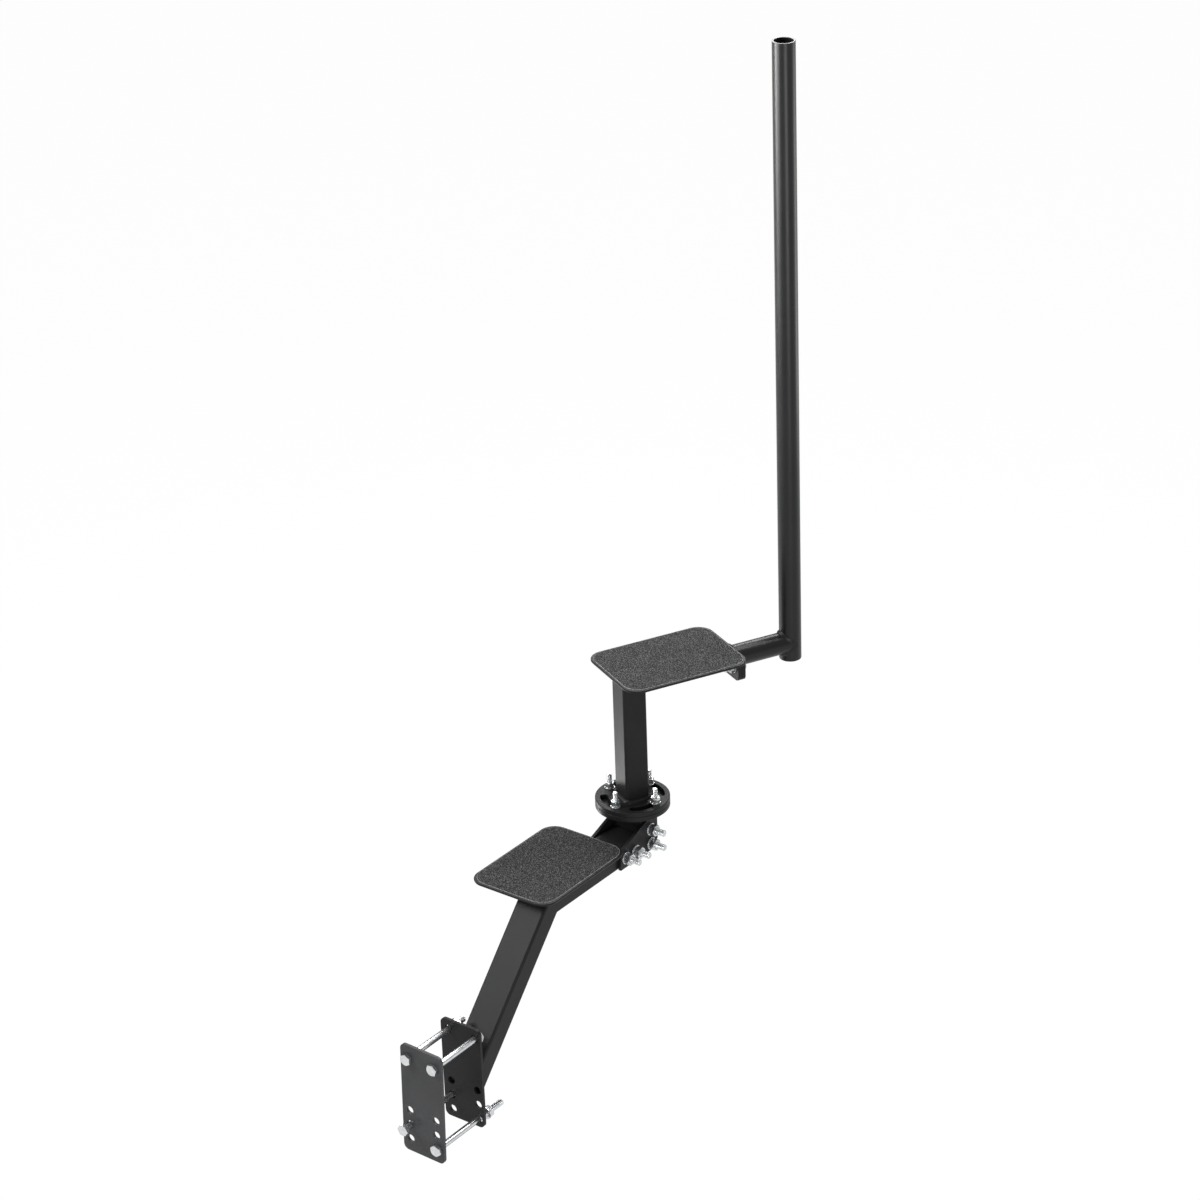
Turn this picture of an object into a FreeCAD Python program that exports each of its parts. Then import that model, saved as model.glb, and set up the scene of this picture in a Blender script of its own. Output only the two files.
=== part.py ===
import FreeCAD, Part
import math
import os
import Sketcher

# Two-step boarding step with a handrail that clamps on a trailer tongue.
# Frame: X along the tongue, Y outward from the tongue, Z up.
# Origin: clamping face of the back plate, midway between the two upper clamp bolts.
# All sizes are millimetres or degrees.

SIZES = [
    # clamp plates and their hole pattern
    ("plate_thick", 5.0),
    ("back_width", 75.0),
    ("back_height", 173.0),
    ("back_rise", 16.0),
    ("front_width", 78.0),
    ("front_height", 188.0),
    ("front_rise", 23.0),
    ("plate_corner", 9.0),
    ("back_offset", 2.5),
    ("front_twist", 1.5),
    ("clamp_gap", 93.0),
    ("column_pitch", 50.0),
    ("row_drop", 92.0),
    ("row_pitch", 25.4),
    ("clamp_play", 3.0),
    ("hole_play", 2.0),
    # ten millimetre fasteners: clamp and knuckle
    ("large_bolt", 10.0),
    ("large_flats", 17.0),
    ("large_head", 6.4),
    ("large_nut", 8.4),
    ("large_nut_thin", 5.0),
    ("large_washer", 20.0),
    ("large_washer_thick", 2.0),
    ("bore_play", 0.6),
    ("large_lock_ring", 17.0),
    ("large_lock_thick", 2.2),
    ("clamp_bolt_length", 133.0),
    ("clamp_bolt_short", 108.0),
    ("clamp_bolt_long", 154.0),
    ("clamp_bolt_sag", 0.5),
    ("clamp_bolt_pull", 13.0),
    ("nut_standoff_low", 12.0),
    ("nut_standoff_loose", 4.0),
    ("knuckle_bolt_length", 95.0),
    # eight millimetre fasteners: swivel and handrail
    ("small_bolt", 8.0),
    ("small_flats", 13.0),
    ("small_head", 5.3),
    ("small_nut", 6.8),
    ("small_washer", 16.0),
    ("small_washer_thick", 1.6),
    ("small_lock_ring", 14.0),
    ("small_lock_thick", 2.0),
    ("lock_slit", 1.5),
    ("swivel_bolt_length", 41.0),
    ("rail_bolt_length", 30.0),
    # arm tubes
    ("arm_width", 55.0),
    ("arm_depth", 35.0),
    ("arm_wall", 3.0),
    ("arm_round", 4.0),
    ("arm_angle", 47.5),
    ("arm_drop", 54.5),
    ("arm_top", 150.0),
    ("arm_reach", 421.0),
    ("arm_end_gap", 1.5),
    # step plates
    ("step_long", 210.0),
    ("step_wide", 153.0),
    ("step_thick", 4.0),
    ("step_corner", 26.0),
    ("tread_inset", 3.3),
    ("tread_corner", 26.5),
    ("tread_thick", 1.0),
    ("lower_step_setback", 52.5),
    ("lower_step_shift", 31.0),
    # knuckle
    ("knuckle_thick", 5.0),
    ("knuckle_margin", 13.0),
    ("knuckle_overhang", 1.5),
    ("knuckle_clear", 1.0),
    ("knuckle_head_room", 31.0),
    ("knuckle_notch", 14.0),
    ("knuckle_pitch", 25.4),
    ("knuckle_inset", 20.6),
    ("knuckle_low_row", 12.5),
    # swivel
    ("swivel_level", 187.0),
    ("stub_lift", 2.0),
    ("disc_size", 117.0),
    ("disc_thick", 8.0),
    ("bolt_circle", 88.0),
    ("slot_play", 4.0),
    ("slot_half_angle", 26.0),
    ("swivel_angle", 26.0),
    # upper column and step
    ("post_side", 40.0),
    ("post_wall", 3.0),
    ("post_round", 4.5),
    ("post_length", 216.0),
    ("upper_step_back", 36.0),
    # handrail
    ("tab_thick", 6.5),
    ("tab_wide", 98.0),
    ("tab_drop", 41.0),
    ("tab_corner", 9.0),
    ("tab_setback", 3.0),
    ("base_gap", 2.0),
    ("rail_bolt_pitch", 70.0),
    ("rail_drop", 21.0),
    ("pole_size", 35.0),
    ("pole_wall", 3.0),
    ("rail_length", 106.5),
    ("pole_tail", 28.0),
    ("pole_length", 1000.0),
    ("cope_gap", 0.3),
]

VALUE = dict(SIZES)

doc = FreeCAD.newDocument("boarding_step")
sheet = doc.addObject("Spreadsheet::Sheet", "Sizes")
for row, (alias, number) in enumerate(SIZES, start=1):
    sheet.set("A%d" % row, alias)
    sheet.set("B%d" % row, str(number))
    sheet.setAlias("B%d" % row, alias)
doc.recompute()

nodes = []

# Levels and reaches that follow from the sizes above.
ARM_BOTTOM = "(Sizes.arm_top - Sizes.arm_depth)"
SWIVEL_AXIS = "(Sizes.arm_reach + Sizes.arm_end_gap + Sizes.arm_depth / 2)"
LOWER_STEP_END = "(Sizes.arm_reach - Sizes.lower_step_setback)"
ARM_TAN = "tan(Sizes.arm_angle * 1 deg)"
ARM_COS = "cos(Sizes.arm_angle * 1 deg)"
TREAD_RISE = "Sizes.step_thick"
UPPER_DISC = "(Sizes.swivel_level + Sizes.disc_thick)"
POST_FOOT = "(Sizes.swivel_level + 2 * Sizes.disc_thick)"
UPPER_LEVEL = "(%s + Sizes.post_length)" % POST_FOOT
LARGE_HOLE = "(Sizes.large_bolt + Sizes.hole_play)"
CLAMP_HOLE = "(Sizes.large_bolt + Sizes.clamp_play)"
SMALL_HOLE = "(Sizes.small_bolt + Sizes.hole_play)"
SLOT_WIDE = "(Sizes.small_bolt + Sizes.slot_play)"
STEP_TIP = "(Sizes.step_long - Sizes.upper_step_back)"
RAIL_LEVEL = "(%s - Sizes.rail_drop)" % UPPER_LEVEL


def place(item, along_x, along_y, along_z):
    """Bind the position of an item to three expressions."""
    item.setExpression("Placement.Base.x", along_x)
    item.setExpression("Placement.Base.y", along_y)
    item.setExpression("Placement.Base.z", along_z)


def place_upper(item, along, across, level):
    """Position in the swivelled frame: along the upper step, across it, and height."""
    turn = "Sizes.swivel_angle * 1 deg"
    along_x = "(%s) * sin(%s) - (%s) * cos(%s)" % (along, turn, across, turn)
    swing_y = "(%s) * cos(%s) + (%s) * sin(%s)" % (along, turn, across, turn)
    place(item, along_x, SWIVEL_AXIS + " + " + swing_y, level)


def turn_upper(item):
    """Turn an item about Z with the upper step."""
    axis = FreeCAD.Vector(0, 0, -1)
    item.Placement = FreeCAD.Placement(FreeCAD.Vector(), FreeCAD.Rotation(axis, VALUE["swivel_angle"]))
    item.setExpression("Placement.Rotation.Angle", "Sizes.swivel_angle * 1 deg")


def new_body(name):
    body = doc.addObject("PartDesign::Body", name)
    body.Label = name
    nodes.append(body)
    return body


def origin_plane(body, role):
    for feature in body.Origin.OriginFeatures:
        if feature.Role == role:
            return feature
    raise RuntimeError("no plane " + role)


def new_sketch(body, role, name, offset=None):
    sketch = body.newObject("Sketcher::SketchObject", name)
    sketch.AttachmentSupport = [(origin_plane(body, role), "")]
    sketch.MapMode = "FlatFace"
    if offset:
        sketch.setExpression("AttachmentOffset.Base.z", offset)
    return sketch


def bind(sketch, constraint, expression):
    index = sketch.addConstraint(constraint)
    sketch.setExpression("Constraints[%d]" % index, expression)


def add_rectangle(sketch, wide, tall):
    """Rectangle centred on the sketch origin."""
    corners = [(-20, -15), (20, -15), (20, 15), (-20, 15)]
    first = sketch.GeometryCount
    for i in range(4):
        start = FreeCAD.Vector(corners[i][0], corners[i][1], 0)
        end = FreeCAD.Vector(corners[(i + 1) % 4][0], corners[(i + 1) % 4][1], 0)
        sketch.addGeometry(Part.LineSegment(start, end), False)
    for i in range(4):
        sketch.addConstraint(Sketcher.Constraint("Coincident", first + i, 2, first + (i + 1) % 4, 1))
    for i in (0, 2):
        sketch.addConstraint(Sketcher.Constraint("Horizontal", first + i))
        sketch.addConstraint(Sketcher.Constraint("Vertical", first + i + 1))
    sketch.addConstraint(Sketcher.Constraint("Symmetric", first, 1, first + 1, 2, -1, 1))
    bind(sketch, Sketcher.Constraint("DistanceX", first, 1, first, 2, 40.0), wide)
    bind(sketch, Sketcher.Constraint("DistanceY", first + 1, 1, first + 1, 2, 30.0), tall)


def add_polygon(sketch, points):
    """Closed outline through points given as pairs of expressions."""
    count = len(points)
    first = sketch.GeometryCount
    ring = []
    for i in range(count):
        angle = 2 * math.pi * i / count
        ring.append(FreeCAD.Vector(50 * math.cos(angle), 50 * math.sin(angle), 0))
    for i in range(count):
        sketch.addGeometry(Part.LineSegment(ring[i], ring[(i + 1) % count]), False)
    for i in range(count):
        sketch.addConstraint(Sketcher.Constraint("Coincident", first + i, 2, first + (i + 1) % count, 1))
    for i, (along, up) in enumerate(points):
        bind(sketch, Sketcher.Constraint("DistanceX", -1, 1, first + i, 1, ring[i].x), along)
        bind(sketch, Sketcher.Constraint("DistanceY", -1, 1, first + i, 1, ring[i].y), up)


def add_circle(sketch, along, up, diameter):
    """Circle at a pair of expressions; None keeps the centre on that axis."""
    start = FreeCAD.Vector(7 if along else 0, 9 if up else 0, 0)
    geo = sketch.addGeometry(Part.Circle(start, FreeCAD.Vector(0, 0, 1), 5.0), False)
    if along is None and up is None:
        sketch.addConstraint(Sketcher.Constraint("Coincident", geo, 3, -1, 1))
    elif along is None:
        sketch.addConstraint(Sketcher.Constraint("PointOnObject", geo, 3, -2))
        bind(sketch, Sketcher.Constraint("DistanceY", -1, 1, geo, 3, start.y), up)
    elif up is None:
        sketch.addConstraint(Sketcher.Constraint("PointOnObject", geo, 3, -1))
        bind(sketch, Sketcher.Constraint("DistanceX", -1, 1, geo, 3, start.x), along)
    else:
        bind(sketch, Sketcher.Constraint("DistanceX", -1, 1, geo, 3, start.x), along)
        bind(sketch, Sketcher.Constraint("DistanceY", -1, 1, geo, 3, start.y), up)
    bind(sketch, Sketcher.Constraint("Diameter", geo, 10.0), diameter)


def add_pad(body, sketch, name, length):
    pad = body.newObject("PartDesign::Pad", name)
    pad.Profile = sketch
    pad.setExpression("Length", length)
    sketch.Visibility = False
    doc.recompute()
    return pad


def add_pocket(body, sketch, name, length=None):
    """Cut along the sketch normal, through everything unless a depth is given."""
    before = body.Shape.Volume
    pocket = body.newObject("PartDesign::Pocket", name)
    pocket.Profile = sketch
    pocket.Reversed = True
    if length:
        pocket.setExpression("Length", length)
    else:
        pocket.Type = "ThroughAll"
    sketch.Visibility = False
    doc.recompute()
    if not pocket.Shape.Volume < before - 1.0:
        raise RuntimeError("pocket took nothing away: " + name)
    return pocket


def add_fillet(body, feature, name, radius, wanted):
    """Round the straight edges of a feature that the test picks."""
    picked = []
    for i, edge in enumerate(feature.Shape.Edges, start=1):
        if edge.Curve.TypeId != "Part::GeomLine":
            continue
        start, end = edge.Vertexes[0].Point, edge.Vertexes[-1].Point
        if wanted((end - start).normalize(), (start + end) * 0.5):
            picked.append("Edge%d" % i)
    if not picked:
        raise RuntimeError("no edge to round: " + name)
    fillet = body.newObject("PartDesign::Fillet", name)
    fillet.Base = (feature, picked)
    fillet.setExpression("Radius", radius)
    doc.recompute()
    return fillet


def along_axis(axis):
    return lambda way, middle: abs(way.dot(axis)) > 0.999


AXIS_X = FreeCAD.Vector(1, 0, 0)
AXIS_Y = FreeCAD.Vector(0, 1, 0)
AXIS_Z = FreeCAD.Vector(0, 0, 1)


def part(kind, name, **expressions):
    """Part primitive with every size bound to an expression."""
    item = doc.addObject("Part::" + kind, name)
    for key, expression in expressions.items():
        item.setExpression(key, expression)
    item.Visibility = False
    return item


def boolean(kind, name, base, tool):
    item = doc.addObject("Part::" + kind, name)
    item.Base = base
    item.Tool = tool
    return item


def hex_block(name, flats, height):
    """Hexagon block, chamfered round its lower end, standing on Z."""
    prism = part("Prism", name + "_prism", Circumradius="%s / 2 / cos(30 deg)" % flats, Height=height)
    prism.Polygon = 6
    cone = part("Cone", name + "_chamfer", Radius1="0.475 * %s" % flats,
                Radius2="0.475 * %s + %s / tan(30 deg)" % (flats, height), Height=height)
    return boolean("Common", name + "_block", prism, cone)


def bolt(name, diameter, flats, head, length):
    """Hexagon bolt along +Z with the underside of its head at zero."""
    block = hex_block(name, flats, head)
    block.setExpression("Placement.Base.z", "-" + head)
    shank = part("Cylinder", name + "_shank", Radius="%s / 2" % diameter, Height=length)
    return boolean("Fuse", name, block, shank)


def nut(name, diameter, flats, height):
    """Hexagon nut along -Z with its bearing face at zero."""
    block = hex_block(name, flats, height)
    block.setExpression("Placement.Base.z", "-" + height)
    bore = part("Cylinder", name + "_bore", Radius="(%s + Sizes.bore_play) / 2" % diameter,
                Height="3 * " + height)
    bore.setExpression("Placement.Base.z", "-2 * " + height)
    return boolean("Cut", name, block, bore)


def washer(name, diameter, outer, thick):
    """Flat washer from zero up along +Z."""
    disc = part("Cylinder", name + "_disc", Radius="%s / 2" % outer, Height=thick)
    bore = part("Cylinder", name + "_bore", Radius="(%s + Sizes.bore_play) / 2" % diameter,
                Height="3 * " + thick)
    bore.setExpression("Placement.Base.z", "-" + thick)
    return boolean("Cut", name, disc, bore)


def lock_washer(name, diameter, outer, thick):
    """Split ring from zero up along +Z."""
    ring = washer(name + "_ring", diameter, outer, thick)
    slit = part("Box", name + "_slit", Length=outer, Width="Sizes.lock_slit", Height="3 * " + thick)
    place(slit, "0", "-Sizes.lock_slit / 2", "-" + thick)
    return boolean("Cut", name, ring, slit)


def turned(item, way):
    """Turn the local +Z of an item to a fixed world direction."""
    item.Placement = FreeCAD.Placement(FreeCAD.Vector(), FreeCAD.Rotation(AXIS_Z, FreeCAD.Vector(way)))


def group(name, items):
    """One node that holds identical fasteners as separate solids."""
    item = doc.addObject("Part::Compound", name)
    item.Links = items
    item.Label = name
    nodes.append(item)
    return item


# Clamp plates: two upper holes and two columns of three lower holes, set off from the middle if wanted.
def clamp_plate(name, wide, tall, rise, offset, along_y):
    body = new_body(name)
    outline = new_sketch(body, "XZ_Plane", name + "_outline")
    add_rectangle(outline, wide, tall)
    pad = add_pad(body, outline, name + "_pad", "Sizes.plate_thick")
    add_fillet(body, pad, name + "_corners", "Sizes.plate_corner", along_axis(AXIS_Y))
    holes = new_sketch(body, "XZ_Plane", name + "_holes")
    for side in ("-", ""):
        column = "%sSizes.column_pitch / 2 + %s" % (side, offset)
        bolt_row = "%s / 2 - %s" % (tall, rise)
        add_circle(holes, column, bolt_row, CLAMP_HOLE)
        for step in range(3):
            low_row = "%s - Sizes.row_drop - %d * Sizes.row_pitch" % (bolt_row, step)
            add_circle(holes, column, low_row, CLAMP_HOLE)
    add_pocket(body, holes, name + "_drill")
    place(body, "-" + offset, along_y, "%s - %s / 2" % (rise, tall))
    return body


clamp_plate("back_plate", "Sizes.back_width", "Sizes.back_height", "Sizes.back_rise", "Sizes.back_offset",
            "Sizes.plate_thick")
front_plate = clamp_plate("front_plate", "Sizes.front_width", "Sizes.front_height", "Sizes.front_rise", "0",
                          "-Sizes.clamp_gap")

# The front plate hangs a little twisted on its loose bolts.
front_plate.Placement.Rotation = FreeCAD.Rotation(AXIS_Y, VALUE["front_twist"])
front_plate.setExpression("Placement.Rotation.Angle", "Sizes.front_twist * 1 deg")

# The bolts share the sideways shift of the twisted holes between the two plates.
CLAMP_SHIFT = "(Sizes.front_height / 2 - Sizes.front_rise) * sin(Sizes.front_twist * 1 deg) / 2"

# Clamp bolts run through both plates; the lower pair uses the holes shown in use.
# Each has its place along and up, how far its head stands off, its length and the standoff of its nut.
# The upper right one is short and takes a thin nut straight on the plate, the others a washer and a full nut.
LEFT = "-Sizes.column_pitch / 2"
RIGHT = "Sizes.column_pitch / 2"
CLAMP_SPOTS = [
    (LEFT + " + " + CLAMP_SHIFT, "0",
     "0", "Sizes.clamp_bolt_length", "Sizes.nut_standoff_loose", "full"),
    (RIGHT + " + " + CLAMP_SHIFT, "0",
     "0", "Sizes.clamp_bolt_short", "0", "thin"),
    (LEFT + " - " + CLAMP_SHIFT, "-Sizes.row_drop - Sizes.row_pitch - Sizes.clamp_bolt_sag",
     "Sizes.clamp_bolt_pull", "Sizes.clamp_bolt_length", "Sizes.nut_standoff_loose", "full"),
    (RIGHT + " - " + CLAMP_SHIFT, "-Sizes.row_drop - 2 * Sizes.row_pitch",
     "0", "Sizes.clamp_bolt_long", "Sizes.nut_standoff_low", "full"),
]
clamp_bolts, clamp_washers, clamp_nuts = [], [], []
for number, (along, level, pull, length, standoff, kind) in enumerate(CLAMP_SPOTS, start=1):
    nut_face = "Sizes.plate_thick + " + standoff
    nut_height = "Sizes.large_nut_thin" if kind == "thin" else "Sizes.large_nut"
    one = bolt("clamp_bolt_%d" % number, "Sizes.large_bolt", "Sizes.large_flats", "Sizes.large_head", length)
    turned(one, AXIS_Y)
    place(one, along, "-Sizes.clamp_gap - Sizes.plate_thick - " + pull, level)
    clamp_bolts.append(one)
    if kind == "full":
        one = washer("clamp_washer_%d" % number, "Sizes.large_bolt", "Sizes.large_washer",
                     "Sizes.large_washer_thick")
        turned(one, AXIS_Y)
        place(one, along, nut_face, level)
        clamp_washers.append(one)
        nut_face += " + Sizes.large_washer_thick"
    one = nut("clamp_nut_%d" % number, "Sizes.large_bolt", "Sizes.large_flats", nut_height)
    turned(one, -AXIS_Y)
    place(one, along, nut_face, level)
    clamp_nuts.append(one)
group("clamp_bolts", clamp_bolts)
group("clamp_washers", clamp_washers)
group("clamp_nuts", clamp_nuts)


# Arm tubes: side outline padded across, hollowed, long edges rounded.
def arm_tube(name, outer, inner, lengthwise, drill=None):
    body = new_body(name)
    outline = new_sketch(body, "YZ_Plane", name + "_outline")
    add_polygon(outline, outer)
    pad = add_pad(body, outline, name + "_pad", "Sizes.arm_width")
    add_fillet(body, pad, name + "_rounds", "Sizes.arm_round", lengthwise)
    hollow = new_sketch(body, "YZ_Plane", name + "_hollow", "Sizes.arm_wall")
    add_polygon(hollow, inner)
    add_pocket(body, hollow, name + "_bore", "Sizes.arm_width - 2 * Sizes.arm_wall")
    if drill:
        holes = new_sketch(body, "YZ_Plane", name + "_holes")
        for along, level in drill:
            add_circle(holes, along, level, LARGE_HOLE)
        add_pocket(body, holes, name + "_drill")
    place(body, "-Sizes.arm_width / 2", "0", "0")


FOOT_TOP = "(-Sizes.arm_drop)"
FOOT_LOW = "(-Sizes.arm_drop - Sizes.arm_depth / %s)" % ARM_COS
WALL_RISE = "(Sizes.arm_wall / %s)" % ARM_COS


def reach_at(level, foot):
    """Y where the sloping face that starts at foot reaches a level."""
    return "Sizes.plate_thick + (%s - %s) / %s" % (level, foot, ARM_TAN)


MITRE_TOP = reach_at("Sizes.arm_top", FOOT_TOP)
MITRE_LOW = reach_at(ARM_BOTTOM, FOOT_LOW)
IN_TOP = "(Sizes.arm_top - Sizes.arm_wall)"
IN_LOW = "(%s + Sizes.arm_wall)" % ARM_BOTTOM
IN_FOOT_TOP = "(%s - %s)" % (FOOT_TOP, WALL_RISE)
IN_FOOT_LOW = "(%s + %s)" % (FOOT_LOW, WALL_RISE)
IN_MITRE_TOP = reach_at(IN_TOP, IN_FOOT_TOP)
IN_MITRE_LOW = reach_at(IN_LOW, IN_FOOT_LOW)

slope_angle = math.radians(VALUE["arm_angle"])
SLOPE = FreeCAD.Vector(0, math.cos(slope_angle), math.sin(slope_angle))
arm_tube(
    "arm_sloping",
    [("Sizes.plate_thick", FOOT_TOP), ("Sizes.plate_thick", FOOT_LOW), (MITRE_LOW, ARM_BOTTOM),
     (MITRE_TOP, "Sizes.arm_top")],
    [("Sizes.plate_thick", IN_FOOT_TOP), ("Sizes.plate_thick", IN_FOOT_LOW), (IN_MITRE_LOW, IN_LOW),
     (IN_MITRE_TOP, IN_TOP)],
    along_axis(SLOPE))

KNUCKLE_ROW = "(%s + Sizes.arm_depth / 2)" % ARM_BOTTOM
KNUCKLE_LOW = "(%s + Sizes.knuckle_low_row)" % ARM_BOTTOM
KNUCKLE_NEAR = "(Sizes.arm_reach - Sizes.knuckle_inset)"
KNUCKLE_FAR = "(%s - Sizes.knuckle_pitch)" % KNUCKLE_NEAR
LEVEL_SPOTS = [
    (KNUCKLE_FAR, KNUCKLE_ROW),
    (KNUCKLE_NEAR, KNUCKLE_ROW),
]
STUB_SPOTS = [
    (SWIVEL_AXIS, KNUCKLE_LOW),
    (SWIVEL_AXIS, KNUCKLE_LOW + " + Sizes.knuckle_pitch"),
]
arm_tube(
    "arm_level",
    [(MITRE_TOP, "Sizes.arm_top"), (MITRE_LOW, ARM_BOTTOM), ("Sizes.arm_reach", ARM_BOTTOM),
     ("Sizes.arm_reach", "Sizes.arm_top")],
    [(IN_MITRE_TOP, IN_TOP), (IN_MITRE_LOW, IN_LOW), ("Sizes.arm_reach", IN_LOW),
     ("Sizes.arm_reach", IN_TOP)],
    along_axis(AXIS_Y), LEVEL_SPOTS)


# Step plates with a grit tread let in from the edge.
def step_plate(name, long, wide, thick, corner):
    body = new_body(name)
    outline = new_sketch(body, "XY_Plane", name + "_outline")
    add_rectangle(outline, wide, long)
    pad = add_pad(body, outline, name + "_pad", thick)
    add_fillet(body, pad, name + "_corners", corner, along_axis(AXIS_Z))
    return body


TREAD_LONG = "Sizes.step_long - 2 * Sizes.tread_inset"
TREAD_WIDE = "Sizes.step_wide - 2 * Sizes.tread_inset"
LOWER_MID = LOWER_STEP_END + " - Sizes.step_long / 2"
lower_step = step_plate("lower_step", "Sizes.step_long", "Sizes.step_wide", "Sizes.step_thick",
                        "Sizes.step_corner")
place(lower_step, "-Sizes.lower_step_shift", LOWER_MID, "Sizes.arm_top")
lower_tread = step_plate("lower_tread", TREAD_LONG, TREAD_WIDE, "Sizes.tread_thick",
                         "Sizes.tread_corner")
place(lower_tread, "-Sizes.lower_step_shift", LOWER_MID, "Sizes.arm_top + " + TREAD_RISE)


# Knuckle: two side plates bolted across the level tube and the swivel stub.
KNUCKLE_START = "(%s - Sizes.knuckle_margin)" % KNUCKLE_FAR
KNUCKLE_END = "(%s + Sizes.arm_depth / 2 + Sizes.knuckle_overhang)" % SWIVEL_AXIS
SHOULDER_LEVEL = "(Sizes.arm_top - Sizes.knuckle_clear)"


def knuckle_plate(name, along_x):
    body = new_body(name)
    outline = new_sketch(body, "YZ_Plane", name + "_outline")
    add_polygon(outline, [
        (KNUCKLE_START, ARM_BOTTOM),
        (KNUCKLE_END + " - Sizes.knuckle_notch", ARM_BOTTOM),
        (KNUCKLE_END, ARM_BOTTOM + " + Sizes.knuckle_notch"),
        (KNUCKLE_END, "Sizes.arm_top + Sizes.knuckle_head_room"),
        (LOWER_STEP_END + " + Sizes.knuckle_clear", SHOULDER_LEVEL),
        (KNUCKLE_START, SHOULDER_LEVEL),
    ])
    add_pad(body, outline, name + "_pad", "Sizes.knuckle_thick")
    holes = new_sketch(body, "YZ_Plane", name + "_holes")
    for along, level in LEVEL_SPOTS + STUB_SPOTS:
        add_circle(holes, along, level, LARGE_HOLE)
    add_pocket(body, holes, name + "_drill")
    place(body, along_x, "0", "0")


knuckle_plate("knuckle_plate_left", "-Sizes.arm_width / 2 - Sizes.knuckle_thick")
knuckle_plate("knuckle_plate_right", "Sizes.arm_width / 2")

KNUCKLE_FACE = "(Sizes.arm_width / 2 + Sizes.knuckle_thick)"
KNUCKLE_WASHER = KNUCKLE_FACE + " + Sizes.large_washer_thick"
knuckle_bolts, knuckle_washers, knuckle_locks, knuckle_nuts = [], [], [], []
for number, (along, level) in enumerate(LEVEL_SPOTS + STUB_SPOTS, start=1):
    one = bolt("knuckle_bolt_%d" % number, "Sizes.large_bolt", "Sizes.large_flats", "Sizes.large_head",
               "Sizes.knuckle_bolt_length")
    turned(one, AXIS_X)
    place(one, "-%s - Sizes.large_washer_thick" % KNUCKLE_FACE, along, level)
    knuckle_bolts.append(one)
    for side, foot in (("in", "-%s - Sizes.large_washer_thick" % KNUCKLE_FACE), ("out", KNUCKLE_FACE)):
        one = washer("knuckle_washer_%s_%d" % (side, number), "Sizes.large_bolt", "Sizes.large_washer",
                     "Sizes.large_washer_thick")
        turned(one, AXIS_X)
        place(one, foot, along, level)
        knuckle_washers.append(one)
    one = lock_washer("knuckle_lock_%d" % number, "Sizes.large_bolt", "Sizes.large_lock_ring",
                      "Sizes.large_lock_thick")
    turned(one, AXIS_X)
    place(one, KNUCKLE_WASHER, along, level)
    knuckle_locks.append(one)
    one = nut("knuckle_nut_%d" % number, "Sizes.large_bolt", "Sizes.large_flats", "Sizes.large_nut")
    turned(one, -AXIS_X)
    place(one, KNUCKLE_WASHER + " + Sizes.large_lock_thick", along, level)
    knuckle_nuts.append(one)
group("knuckle_bolts", knuckle_bolts)
group("knuckle_washers", knuckle_washers)
group("knuckle_lock_washers", knuckle_locks)
group("knuckle_nuts", knuckle_nuts)


# Upright tubes: stub of the swivel and post of the upper step.
def upright_tube(name, wide, deep, wall, corner, height):
    body = new_body(name)
    outline = new_sketch(body, "XY_Plane", name + "_outline")
    add_rectangle(outline, wide, deep)
    add_rectangle(outline, "%s - 2 * %s" % (wide, wall), "%s - 2 * %s" % (deep, wall))
    pad = add_pad(body, outline, name + "_pad", height)
    reach = 0.5 * max(abs(v.Point.x) for v in pad.Shape.Vertexes) + 0.5 * pad.Shape.BoundBox.XMax - 0.01

    def outer_corner(way, middle):
        return abs(way.dot(AXIS_Z)) > 0.999 and abs(middle.x) > reach

    add_fillet(body, pad, name + "_rounds", corner, outer_corner)
    return body


STUB_FOOT = "(%s + Sizes.stub_lift)" % ARM_BOTTOM
stub = upright_tube("swivel_stub", "Sizes.arm_width", "Sizes.arm_depth", "Sizes.arm_wall", "Sizes.arm_round",
                    "Sizes.swivel_level - " + STUB_FOOT)
stub_holes = new_sketch(stub, "YZ_Plane", "swivel_stub_holes", "-Sizes.arm_width")
for number in range(2):
    hole_level = "Sizes.knuckle_low_row - Sizes.stub_lift + %d * Sizes.knuckle_pitch" % number
    add_circle(stub_holes, None, hole_level, LARGE_HOLE)
add_pocket(stub, stub_holes, "swivel_stub_drill")
place(stub, "0", SWIVEL_AXIS, STUB_FOOT)

# Swivel discs: round holes in the lower one, curved slots in the upper one.
lower_disc = new_body("lower_disc")
rim = new_sketch(lower_disc, "XY_Plane", "lower_disc_rim")
add_circle(rim, None, None, "Sizes.disc_size")
add_pad(lower_disc, rim, "lower_disc_pad", "Sizes.disc_thick")
holes = new_sketch(lower_disc, "XY_Plane", "lower_disc_holes")
for along, across in (("Sizes.bolt_circle / 2", None), (None, "Sizes.bolt_circle / 2"),
                      ("-Sizes.bolt_circle / 2", None), (None, "-Sizes.bolt_circle / 2")):
    add_circle(holes, along, across, SMALL_HOLE)
add_pocket(lower_disc, holes, "lower_disc_drill")
place(lower_disc, "0", SWIVEL_AXIS, "Sizes.swivel_level")

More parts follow.
